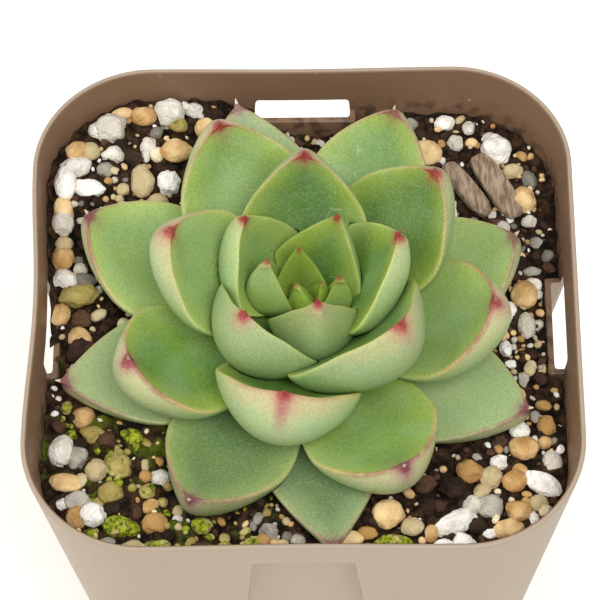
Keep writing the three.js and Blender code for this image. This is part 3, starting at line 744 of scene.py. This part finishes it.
def leaf_shape(n, extra=0.0):
    """Rings of one leaf, and for each point its distances from the tip, keel and margin."""
    own = OWN_SHAPE.get(n, {})
    azimuth = math.radians(FIRST_AZIMUTH - GOLDEN_STEP * n + own.get("swing", 0))
    radius = along(TIP_RADIUS, n) + own.get("reach", 0)
    tip_z = along(TIP_HEIGHT, n) + own.get("rise", 0)
    above = tip_z - AXIS_HEIGHT
    tip = np.array([
        AXIS_X + LEAN_X * above + radius * math.cos(azimuth),
        AXIS_Y + LEAN_Y * above + radius * math.sin(azimuth),
        tip_z,
    ])
    to_tip = Vector((tip[0] - STEM_X, tip[1] - STEM_Y)).normalized()
    base = np.array([
        STEM_X + to_tip.x * along(BASE_RADIUS, n),
        STEM_Y + to_tip.y * along(BASE_RADIUS, n) - own.get("forward", 0),
        along(BASE_HEIGHT, n),
    ])
    curl = own.get("curl", along(CURL, n))
    to_tip_power = own.get("to_tip", along(CURL_TO_TIP, n))
    length, ahead, share, points, slopes = leaf_arc(base, tip, curl, to_tip_power)
    half_width = own.get("width", along(WIDTH, n)) / 2
    thickness = own.get("thickness", along(THICKNESS, n))
    widest = own.get("widest", along(WIDEST_AT, n))
    roll = math.radians(own.get("roll", 0))
    small = min(1, SMALLEST_SPIKE + n / SPIKE_GROWS)
    span = small * SPIKE_LENGTH / length
    stations = 1 - (1 - np.linspace(0, 1, LEAF_RINGS)) ** 1.5
    s = np.concatenate([stations, 1 + span * np.array([0.18, 0.35, 0.55, 0.75, 0.9, 1])])

    # The spike swells inside the blade and narrows to its point beyond it
    spike = small * SPIKE_RADIUS * np.interp(
        s, [0.84, 0.96, 1, 1 + 0.35 * span, 1 + span], [0, 1.6, 0.95, 0.55, 0.05]
    )
    blade = s < 1
    bulge = along(TAPER_BULGE, n)
    rounding = along(TAPER_ROUND, n)
    w = half_width * width_share(s, widest, bulge, rounding)
    w = extra + np.hypot(np.where(blade, w, 0), spike)
    thick = thickness * thickness_share(s, along(THINNER_FROM, n))
    t = np.hypot(np.where(blade, thick, 0), SPIKE_DEPTH * spike)
    flatter = FLATTER_AT_TIP * smooth((s - FLATTENS_FROM) / (1 - FLATTENS_FROM))
    cup = along(CHANNEL, n) * w * (1 - flatter)
    cup = np.where(blade, cup, 0)

    under = np.linspace(0, math.pi, UNDER_STEPS + 1)
    upper = np.linspace(0, math.pi, UPPER_STEPS + 1)
    if not extra:
        upper = upper[1:-1]
    u = np.concatenate([np.cos(under), -np.cos(upper)])
    drop = np.concatenate([np.sin(under) ** UNDER_ROUNDNESS, np.full(len(upper), -1.0)])
    is_under = drop >= 0
    x = w[:, None] * u
    v = np.where(
        is_under,
        cup[:, None] - (cup + t)[:, None] * drop - extra,
        cup[:, None] * u ** 2 + extra,
    )
    section = np.stack([x, v], -1)
    if not extra:
        for _ in range(MARGIN_SMOOTHING):
            beside = np.roll(section, 1, 1) + np.roll(section, -1, 1)
            section = 0.5 * section + 0.25 * beside

    # How far each point is from the nearer margin, along the surface
    steps = np.linalg.norm(np.roll(section, -1, 1) - section, axis=-1)
    run = np.cumsum(steps, 1) - steps
    lower_run = run[:, UNDER_STEPS:UNDER_STEPS + 1]
    whole_run = (run[:, -1] + steps[:, -1])[:, None]
    edge = np.where(
        is_under,
        -np.minimum(run, lower_run - run),
        np.minimum(run - lower_run, whole_run - run),
    )

    middle = np.stack([np.interp(s, share, points[:, i]) for i in range(3)], 1)
    slope = np.interp(s, share, slopes)
    forward = ahead * np.cos(slope)[:, None] + np.outer(np.sin(slope), (0, 0, 1))
    up = -ahead * np.sin(slope)[:, None] + np.outer(np.cos(slope), (0, 0, 1))
    middle += forward * (np.maximum(s - 1, 0) * (length + extra / span))[:, None]
    side = np.array([ahead[1], -ahead[0], 0])
    middle += np.outer(own.get("bow", 0) * np.sin(math.pi * clamp01(s)), side)
    across = side * math.cos(roll) + up * math.sin(roll)
    over = up * math.cos(roll) - side * math.sin(roll)
    rings = (
        middle[:, None]
        + across[:, None] * section[..., :1]
        + over[:, None] * section[..., 1:]
    )
    wave = LEAF_WAVE * noise_at(rings.reshape(-1, 3), LEAF_WAVE_SIZE, n).reshape(x.shape)
    rings += over[:, None] * (wave * clamp01((1 - s) / 0.2)[:, None])[..., None]
    from_tip = np.repeat(((1 - s) * length)[:, None], x.shape[1], 1)
    away = np.linalg.norm(rings - rings[LEAF_RINGS].mean(0), axis=-1)
    return rings, {"tip": from_tip, "away": away, "keel": section[..., 0], "edge": edge}


def make_leaves(material):
    """Leaves from the bud outwards, each cut clear of the leaves inside it.

    Returns one body with the room that all of them take.
    """
    taken = None
    for n in range(LEAF_COUNT):
        if n == MISSING_LEAF:
            continue
        rings, marks = leaf_shape(n)
        points, faces = loft(rings)
        leaf = mesh_object(f"fine_leaf_{n:02d}", points, faces)
        room = mesh_object("room", *loft(leaf_shape(n, LEAF_GAP)[0]))
        values = {
            name: np.append(grid.ravel(), [grid[0].mean(), grid[-1].mean()])
            for name, grid in marks.items()
        }
        if taken is None:
            taken = room
        else:
            combined(leaf, taken, "DIFFERENCE")
            combined(taken, room, "UNION")
            remove(room)
        keep_largest(leaf)
        sharpen(leaf, 50)
        nearest = kdtree.KDTree(len(points))
        for i, p in enumerate(points):
            nearest.insert(Vector(p) * MM, i)
        nearest.balance()
        found = [nearest.find(v.co)[1] for v in leaf.data.vertices]
        values = {name: value[found] for name, value in values.items()}
        red, blush, line_right, line_left, painted_light_level = MARKS.get(n, PLAIN_MARKS)
        count = len(found)
        give(leaf, "number", [n] * count)
        give(leaf, "red", [red] * count)
        give(leaf, "blush", [blush] * count)
        # Level of painted light (above 0) or painted shade (below 0) for the whole leaf
        give(leaf, "painted_light_level", [painted_light_level] * count)
        give(leaf, "line", np.where(values["keel"] > 0, line_right, line_left))
        for name, value in values.items():
            give(leaf, name, value)
        slot = "bud_leaf" if n < BUD_LEAVES else "old_leaf" if n >= OLD_LEAVES else "leaf"
        finish_piece(leaf, material, slot, f"leaf_{n:02d}")
    return taken


def keep_largest(obj):
    """Scraps that a cut leaves behind are taken away."""
    work = bmesh.new()
    work.from_mesh(obj.data)
    left = set(work.verts)
    groups = []
    while left:
        stack = [left.pop()]
        group = []
        while stack:
            vert = stack.pop()
            group.append(vert)
            for link in vert.link_edges:
                other = link.other_vert(vert)
                if other in left:
                    left.remove(other)
                    stack.append(other)
        groups.append(group)
    groups.sort(key=len)
    for group in groups[:-1]:
        bmesh.ops.delete(work, geom=group, context="VERTS")
    work.to_mesh(obj.data)
    work.free()


# Soil and stones

def soil_height(x, y):
    rise = SOIL_RISE * smooth(((y - x) / 2 - 8) / 18)
    dip = SOIL_DIP * (1 - smooth(np.hypot(x, y) / DIP_RADIUS))
    ripple = SOIL_RIPPLE * np.sin(1.7 * x + 1.3) * np.sin(1.9 * y + 0.4)
    hollow = HOLLOW_DEPTH * (1 - smooth(np.hypot(x - HOLLOW_X, y - HOLLOW_Y) / HOLLOW_RADIUS))
    return SOIL_LEVEL + rise - dip + ripple - hollow


def make_soil(material, taken):
    cells = round(2 * RIM_HALF / SOIL_CELL)
    line = np.linspace(-RIM_HALF, RIM_HALF, cells + 1)
    x, y = np.meshgrid(line, line, indexing="ij")
    z = soil_height(x, y)
    flat = np.stack([x.ravel(), y.ravel(), np.zeros(x.size)], 1)
    z += 0.7 * noise_at(flat, 1.9, 1).reshape(z.shape)
    z += 0.35 * noise_at(flat, 0.9, 2).reshape(z.shape)
    top = np.stack([x, y, z], -1).reshape(-1, 3)
    side = cells + 1
    number = np.arange(side * side).reshape(side, side)
    faces = np.stack(
        [number[:-1, :-1], number[1:, :-1], number[1:, 1:], number[:-1, 1:]], -1
    ).reshape(-1, 4).tolist()
    border = np.concatenate([number[:, 0], number[-1, 1:], number[-2::-1, -1], number[0, -2:0:-1]])
    floor = len(top) + np.arange(len(border))
    under = top[border].copy()
    under[:, 2] = 0
    for i in range(len(border)):
        j = (i + 1) % len(border)
        faces.append([int(border[j]), int(border[i]), int(floor[i]), int(floor[j])])
    faces.append([int(i) for i in floor[::-1]])
    soil = mesh_object("soil_bed", np.vstack([top, under]), faces)
    inset = WALL + SOIL_GAP
    room = pot_body("room", (FLOOR_TOP + SOIL_GAP, inset), (POT_HEIGHT, inset))
    bumps = wall_wedges(PANEL_TOP + SOIL_GAP, RECESS_DEPTH + inset, inset, 0.3)
    combined(room, bumps, "DIFFERENCE")
    combined(soil, room, "INTERSECT")
    combined(soil, taken, "DIFFERENCE")
    keep_largest(soil)
    remove(room)
    remove(bumps)
    soil.data.polygons.foreach_set("use_smooth", [False] * len(soil.data.polygons))
    finish_piece(soil, material, "soil", "soil")


def unit_sphere(subdivisions):
    work = bmesh.new()
    bmesh.ops.create_icosphere(work, subdivisions=subdivisions, radius=1)
    points = np.array([v.co[:] for v in work.verts])
    faces = np.array([[v.index for v in f.verts] for f in work.faces])
    work.free()
    return points, faces


SPHERES = {level: unit_sphere(level) for level in (2, 3, 4)}

# How each kind of stone is formed: number of flat chips, how deep they may go, and unevenness
STONE_FORM = {
    "white": (4, 0.72, 0.16),
    "cream": (3, 0.78, 0.10),
    "tan": (4, 0.74, 0.10),
    "grey": (4, 0.72, 0.16),
    "mossy": (4, 0.72, 0.18),
    "brown": (5, 0.68, 0.28),
    "bark": (2, 0.9, 0.06),
}
BARK_SQUARENESS = 0.6
STONE_FLATNESS = 0.85
STONE_SUNK = 0.35
STONE_BELLY = 0.3
TRIES_TO_CLEAR = 8
BUMP_EDGE = 2
STONE_SEED = 5


def stone(kind, x, y, length, width, turn, draw, sphere=4, sunk=STONE_SUNK, height=None):
    """Points and faces of a stone that lies part sunk in the soil."""
    chips, deepest, uneven = STONE_FORM[kind]
    points, faces = SPHERES[sphere]
    points = points.copy()
    for _ in range(chips):
        way = Vector([draw.gauss(0, 1) for _ in range(3)]).normalized()
        over = np.maximum(points @ np.array(way) - draw.uniform(deepest, 0.92), 0)
        points -= 0.85 * over[:, None] * np.array(way)
    seed = draw.uniform(0, 90)
    swell = uneven * noise_at(points, 0.75, seed) + 0.6 * uneven * noise_at(points, 0.3, seed)
    points *= 1 + swell[:, None]
    if kind == "bark":
        points = np.sign(points) * np.abs(points) ** BARK_SQUARENESS
    height = height or STONE_FLATNESS * min(length, width)
    middle = (points.max(0) + points.min(0)) / 2
    size = points.max(0) - points.min(0)
    points = (points - middle) / size * (length, width, height)
    cos, sin = math.cos(math.radians(turn)), math.sin(math.radians(turn))
    points = points @ np.array([[cos, sin, 0], [-sin, cos, 0], [0, 0, 1]])
    z = float(soil_height(x, y)) + height * (0.5 - sunk)
    low = z - STONE_BELLY * height
    for _ in range(TRIES_TO_CLEAR):
        room, inward = inside_gap(x, y, low)
        if low < PANEL_TOP and min(abs(x), abs(y)) < RECESS_HALF_TOP + BUMP_EDGE:
            room -= RECESS_DEPTH
        toward = float((points[:, :2] @ np.array(-inward)).max())
        short = toward + SOIL_GAP - room
        if short <= 0:
            break
        x += inward.x * short
        y += inward.y * short
    return points + (x, y, z), faces


# Larger stones, each a node of the CAD part: kind, x, y, length, width, turn in degrees
STONES = [
    ("white", -25.2, 28.8, 4.4, 4.2, 20),
    ("white", -28.4, 30.2, 2.8, 2.6, 0),
    ("white", -29.8, 22.9, 4.4, 3.2, 20),
    ("white", -32.6, 20.2, 3.0, 5.2, 0),
    ("white", -28.2, 19.8, 5.0, 2.6, -8),
    ("white", -17.6, 32.2, 4.2, 4.2, 0),
    ("white", 25.8, 26.6, 4.2, 4.2, 30),
    ("white", 30.4, -22.6, 5.6, 3.0, -35),
    ("white", 18.8, -27.6, 6.2, 3.2, 25),
    ("white", -31.0, -17.4, 3.4, 4.4, -15),
    ("white", 28.8, 0.2, 2.4, 4.0, 0),
    ("tan", -16.6, 25.4, 4.8, 3.4, 0),
    ("tan", -21.0, 30.8, 3.6, 3.0, 0),
    ("tan", 16.6, 26.4, 4.0, 4.0, 0),
    ("tan", 28.6, 4.8, 3.6, 4.0, 0),
    ("tan", 27.7, -17.7, 3.9, 3.2, -10),
    ("tan", 10.5, -26.6, 4.2, 4.2, 0),
    ("tan", -30.4, -21.8, 4.4, 2.6, -5),
    ("tan", 25.4, -28.6, 4.2, 2.6, 15),
    ("mossy", -29.0, 4.2, 5.4, 3.2, 10),
    ("mossy", -22.8, -27.8, 5.0, 3.0, -8),
    ("mossy", 11.0, -30.6, 5.2, 2.8, 0),
]
CHIPS = [
    (21.6, 20.6, 9.6, 2.8, -56),
    (25.6, 21.0, 10.8, 3.4, -62),
]

# Smaller stones seen in the photograph, by kind: x, y, length, width
GRAVEL = {
    "white": [
        (-26.6, 31.5, 1.9, 1.6), (-25.0, 25.0, 3.2, 2.4), (-32.9, 14.2, 2.9, 3.6),
        (-17.6, 21.1, 3.2, 3.8), (-20.4, 26.3, 2.2, 2.4), (-14.4, 32.1, 2.6, 2.4),
        (-15.6, 34.0, 1.2, 1.4), (-31.2, 6.6, 3.4, 3.0), (-32.2, -6.3, 3.2, 2.6),
        (-31.0, -7.4, 2.0, 1.6), (-31.0, -25.0, 2.0, 1.6), (-26.3, -26.3, 3.4, 3.2),
        (-15.8, -26.7, 1.4, 1.2), (20.0, -30.4, 3.2, 2.2), (17.3, -31.0, 2.6, 2.2),
        (14.9, -31.2, 2.0, 1.2), (23.1, -29.2, 2.0, 1.4), (24.6, -19.2, 2.6, 2.2),
        (31.2, -19.2, 2.8, 3.2), (26.0, -3.2, 1.8, 2.4), (26.0, 1.3, 2.0, 2.4),
        (29.7, 16.0, 2.2, 2.0), (20.4, 28.0, 2.2, 2.6), (19.0, 31.2, 2.8, 2.4),
        (22.2, 30.2, 1.8, 2.0), (19.5, 16.8, 1.8, 3.0), (31.2, 6.3, 2.4, 1.8),
        (27.3, -14.9, 2.8, 2.4),
    ],
    "cream": [
        (-28.0, 25.1, 2.8, 2.6), (-21.0, 21.0, 3.2, 5.0), (-19.0, 18.1, 3.0, 2.6),
        (-23.6, 19.8, 1.8, 2.0), (-31.0, 11.5, 2.4, 2.2), (-26.1, -20.0, 3.0, 3.2),
        (-28.0, -21.4, 1.6, 2.0), (-20.0, -19.0, 1.1, 2.6), (-21.6, -30.5, 3.4, 2.0),
        (-7.4, -31.0, 1.4, 1.2), (13.5, -28.2, 3.0, 2.4), (29.3, -25.1, 2.6, 2.4),
        (30.2, -26.3, 1.8, 1.8), (23.5, -21.4, 2.8, 3.2), (29.0, -6.0, 1.6, 2.4),
        (27.8, 23.8, 3.2, 2.4), (-2.6, -31.4, 1.6, 1.2),
    ],
    "tan": [
        (-31.2, 25.8, 3.2, 3.0), (-12.8, 28.8, 3.0, 2.8), (-12.4, 33.3, 2.0, 1.4),
        (-31.2, 16.0, 2.6, 4.4), (-32.6, 9.4, 3.0, 3.6), (-32.6, 1.6, 2.4, 3.2),
        (-29.5, -1.5, 3.2, 3.4), (-28.0, -12.3, 3.0, 3.2), (-29.0, -27.0, 3.0, 3.2),
        (-18.6, -27.4, 3.4, 3.0), (7.8, -29.2, 2.8, 1.8), (5.9, -30.8, 3.2, 2.0),
        (21.9, -31.0, 2.4, 1.4), (26.4, -22.2, 3.2, 2.8), (30.7, -14.2, 2.4, 2.8),
        (30.4, -16.6, 2.0, 1.8), (26.7, -26.2, 3.4, 2.8), (27.4, -10.0, 1.8, 2.6),
        (29.0, 19.0, 3.8, 3.8), (20.8, -20.8, 3.6, 3.2), (30.5, -11.2, 2.2, 1.4),
        (-24.6, 33.0, 3.2, 1.8), (22.5, 28.2, 1.8, 1.6),
    ],
    "grey": [
        (-26.0, 22.6, 2.3, 2.2), (-28.4, 6.4, 3.2, 2.4), (-28.8, -18.2, 3.0, 3.4),
        (-28.4, -24.3, 3.4, 2.6), (-24.6, -30.2, 2.6, 1.8), (23.2, -25.5, 3.4, 3.2),
        (28.1, -7.8, 1.4, 2.2), (29.9, 8.4, 2.6, 1.6), (30.6, 12.6, 2.0, 1.6),
        (30.0, 22.4, 2.0, 3.2), (14.5, 31.0, 2.0, 1.8), (-4.4, -28.8, 2.6, 2.4),
        (-2.2, -29.2, 1.6, 1.4), (31.6, -16.2, 1.2, 1.2), (29.3, -13.0, 1.4, 1.8),
        (-15.0, -22.0, 1.4, 1.2),
    ],
    "mossy": [
        (-16.4, 29.4, 2.6, 2.2), (-23.4, -19.0, 3.6, 4.4), (-26.7, -15.0, 3.6, 2.4),
        (-21.8, -15.4, 3.2, 2.2), (-24.2, -23.2, 3.4, 3.2), (-19.6, -22.8, 2.4, 2.2),
        (-17.7, -24.4, 1.4, 1.4), (-25.6, -24.4, 1.6, 2.0), (-26.6, -29.0, 2.2, 2.0),
        (-18.3, -30.6, 3.6, 2.4), (-9.8, -30.8, 2.0, 1.6), (-12.7, -28.0, 2.8, 2.4),
        (-30.2, -11.0, 1.6, 2.0), (-29.4, -15.0, 1.4, 1.8), (-6.0, -29.9, 1.8, 1.4),
    ],
    "brown": [
        (-31.3, -3.6, 4.2, 3.8), (-31.0, -14.0, 2.0, 1.8), (-12.8, -31.0, 3.2, 1.6),
        (8.4, -27.2, 2.8, 2.0), (24.8, -16.2, 2.6, 2.0), (18.6, -23.0, 3.8, 3.2),
        (15.2, -22.6, 3.0, 2.6), (17.0, -25.2, 2.2, 1.8), (23.3, 22.2, 2.0, 1.6),
        (-28.6, 1.2, 3.0, 2.4), (-22.2, 24.0, 2.6, 2.0), (-24.0, 29.8, 1.8, 2.0),
        (27.4, 12.4, 3.0, 2.6), (28.2, 9.6, 2.4, 2.2), (-14.0, -24.8, 2.4, 2.0),
    ],
}
GRAVEL_SLOT = {
    "white": "white_stone", "cream": "tan_stone", "tan": "tan_stone",
    "grey": "white_stone", "mossy": "mossy_stone", "brown": "soil",
}
# Crumbs scattered between them by a seeded rule
CRUMB_COUNT = 7000
CRUMB_SIZE = (0.6, 3.1)
CRUMB_MOSTLY_SMALL = 1.8
CRUMB_CLEAR = 15
CRUMB_SHARES = [("brown", 0.4), ("tan", 0.6), ("white", 0.78), ("grey", 0.86), ("cream", 1.0)]
CRUMB_FINE = 1.3
CRUMB_CROWDING = 0.68
CRUMB_OFF_WALL = 2.5
CRUMB_OFF_LEAVES = 0.55
CRUMB_MIDDLE = 0.3
MOSSY_SHARE = 0.3
MOSSY_CORNER = (-4, -8)
CRUMB_SEED = 4
CHIP_HEIGHT = 1.8
CHIP_SUNK = 0.1


class Pile:
    """Stones of one kind, gathered into one mesh."""

    def __init__(self):
        self.points = []
        self.faces = []
        self.tones = []
        self.count = 0

    def add(self, points, faces, tone):
        self.points.append(points)
        self.faces.append(faces + self.count)
        self.tones += [tone] * len(points)
        self.count += len(points)

    def build(self, name):
        obj = mesh_object(name, np.vstack(self.points), np.vstack(self.faces).tolist())
        give(obj, "tone", self.tones)
        return obj


def make_stones(materials, leaves_tree):
    draw = random.Random(STONE_SEED)
    counts = {}
    placed = []
    for kind, x, y, length, width, turn in STONES:
        counts[kind] = counts.get(kind, 0) + 1
        pile = Pile()
        pile.add(*stone(kind, x, y, length, width, turn, draw), draw.uniform(-1, 1))
        obj = pile.build(f"fine_{kind}_{counts[kind]}")
        finish_piece(obj, materials[kind], f"{kind}_stone", f"stone_{kind}_{counts[kind]}")
        placed.append((x, y, length / 2))
    for i, (x, y, length, width, turn) in enumerate(CHIPS, 1):
        pile = Pile()
        form = stone("bark", x, y, length, width, turn, draw, sunk=CHIP_SUNK, height=CHIP_HEIGHT)
        pile.add(*form, draw.uniform(-1, 1))
        obj = pile.build(f"fine_bark_{i}")
        finish_piece(obj, materials["bark"], "bark", f"bark_chip_{i}")
        placed.append((x, y, width))

    piles = {kind: Pile() for kind in GRAVEL}
    for kind, rows in GRAVEL.items():
        for x, y, length, width in rows:
            form = stone(kind, x, y, length, width, draw.uniform(-20, 20), draw)
            piles[kind].add(*form, draw.uniform(-1, 1))
            placed.append((x, y, (length + width) / 4))

    draw = random.Random(CRUMB_SEED)
    reach = RIM_HALF - CRUMB_OFF_WALL
    made = 0
    while made < CRUMB_COUNT:
        x, y = draw.uniform(-reach, reach), draw.uniform(-reach, reach)
        size = CRUMB_SIZE[0] + (CRUMB_SIZE[1] - CRUMB_SIZE[0]) * draw.random() ** CRUMB_MOSTLY_SMALL
        pick = draw.random()
        kind = next(k for k, share in CRUMB_SHARES if pick <= share)
        if x < MOSSY_CORNER[0] and y < MOSSY_CORNER[1] and draw.random() < MOSSY_SHARE:
            kind = "mossy"
        squash = draw.uniform(0.6, 1)
        turn = draw.uniform(0, 360)
        made += 1
        if math.hypot(x, y) < CRUMB_CLEAR or inside_gap(x, y, SOIL_LEVEL)[0] < size / 2:
            continue
        if any(math.hypot(x - px, y - py) < CRUMB_CROWDING * (r + size / 2) for px, py, r in placed):
            continue
        middle = Vector((x, y, float(soil_height(x, y)) + CRUMB_MIDDLE * size)) * MM
        if leaves_tree.find_nearest(middle, CRUMB_OFF_LEAVES * size * MM)[0] is not None:
            continue
        sphere = 2 if size < CRUMB_FINE else 3
        form = stone(kind, x, y, size, size * squash, turn, draw, sphere=sphere)
        piles[kind].add(*form, draw.uniform(-1, 1))
        placed.append((x, y, size / 2))
    for kind, pile in piles.items():
        finish_piece(pile.build(f"gravel_{kind}"), materials[kind], GRAVEL_SLOT[kind])


def make_studio():
    corners = [(x * FLOOR_REACH, y * FLOOR_REACH, 0) for x, y in ((-1, -1), (1, -1), (1, 1), (-1, 1))]
    floor = mesh_object("floor", corners, [(0, 1, 2, 3)])
    s = Shader("paper", roughness=0.9, specular=0.1)
    s.surface.inputs["Emission Color"].default_value = (1, 0.99, 0.97, 1)
    s.surface.inputs["Emission Strength"].default_value = FLOOR_GLOW
    floor.data.materials.append(s.paint("#f4f1ea"))

    world = bpy.data.worlds.new("studio")
    world.use_nodes = True
    world.node_tree.nodes["Background"].inputs["Color"].default_value = (1, 0.985, 0.96, 1)
    world.node_tree.nodes["Background"].inputs["Strength"].default_value = WORLD_LIGHT
    bpy.context.scene.world = world

    for name, (place, size, power) in LIGHTS.items():
        lamp = bpy.data.lights.new(name, "AREA")
        lamp.size = size * MM
        lamp.energy = power
        obj = bpy.data.objects.new(name, lamp)
        obj.location = Vector(place) * MM
        aim = Vector(LIGHTS_AIM) * MM - obj.location
        obj.rotation_euler = aim.to_track_quat("-Z", "Y").to_euler()
        bpy.context.scene.collection.objects.link(obj)


def make_camera():
    azimuth = math.radians(CAMERA_AZIMUTH)
    elevation = math.radians(CAMERA_ELEVATION)
    roll = math.radians(CAMERA_ROLL)
    back = Vector((
        math.sin(azimuth) * math.cos(elevation),
        -math.cos(azimuth) * math.cos(elevation),
        math.sin(elevation),
    ))
    level = Vector((math.cos(azimuth), math.sin(azimuth), 0))
    upright = back.cross(level)
    right = math.cos(roll) * level + math.sin(roll) * upright
    up = math.cos(roll) * upright - math.sin(roll) * level
    lens = bpy.data.cameras.new("photo_camera")
    lens.lens = CAMERA_LENS
    lens.sensor_width = CAMERA_SENSOR
    lens.clip_start = 0.01
    camera = bpy.data.objects.new("photo_camera", lens)
    turn = Matrix((right, up, back)).transposed().to_4x4()
    place = (Vector(CAMERA_TARGET) + CAMERA_DISTANCE * back) * MM
    camera.matrix_world = Matrix.Translation(place) @ turn
    bpy.context.scene.collection.objects.link(camera)
    bpy.context.scene.camera = camera


make_camera()
make_studio()
bpy.context.scene.view_settings.view_transform = "Standard"

finish_piece(make_pot(), pot_material(), "pot", "pot")
leaf_rooms = make_leaves(leaf_material())
make_soil(soil_material(), leaf_rooms)
room_mesh = leaf_rooms.data
leaves_tree = bvhtree.BVHTree.FromPolygons(
    [v.co[:] for v in room_mesh.vertices], [f.vertices[:] for f in room_mesh.polygons]
)
remove(leaf_rooms)

stone_materials = {
    "white": stone_material("pumice", "#d0c8ba", "#fffcf5", "#ab9d85", 0.04, 0.35, 0.3),
    "cream": stone_material("cream_grit", "#bdaa80", "#eddfba", "#9b8158", 0.05, 0.4, 0.2),
    "tan": stone_material("tan_grit", "#b38a52", "#f0d09a", "#8f6636", 0.06, 0.4, 0.2),
    "grey": stone_material("grey_grit", "#7d766b", "#bdb6a9", "#dcd6ca", 0.06, 0.35, 0.25),
    "mossy": stone_material("mossy_grit", "#a08e50", "#d6cb86", "#6d7d1c", 0.1, 0.4, 0.25, 0.2),
    "brown": stone_material("peat_clod", "#271a12", "#5a4030", "#7d5a3c", 0.05, 0.4, 0.3),
    "bark": bark_material(),
}
make_stones(stone_materials, leaves_tree)

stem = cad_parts["stem"]
stem.data.materials.clear()
stem.data.materials.append(bark_material())
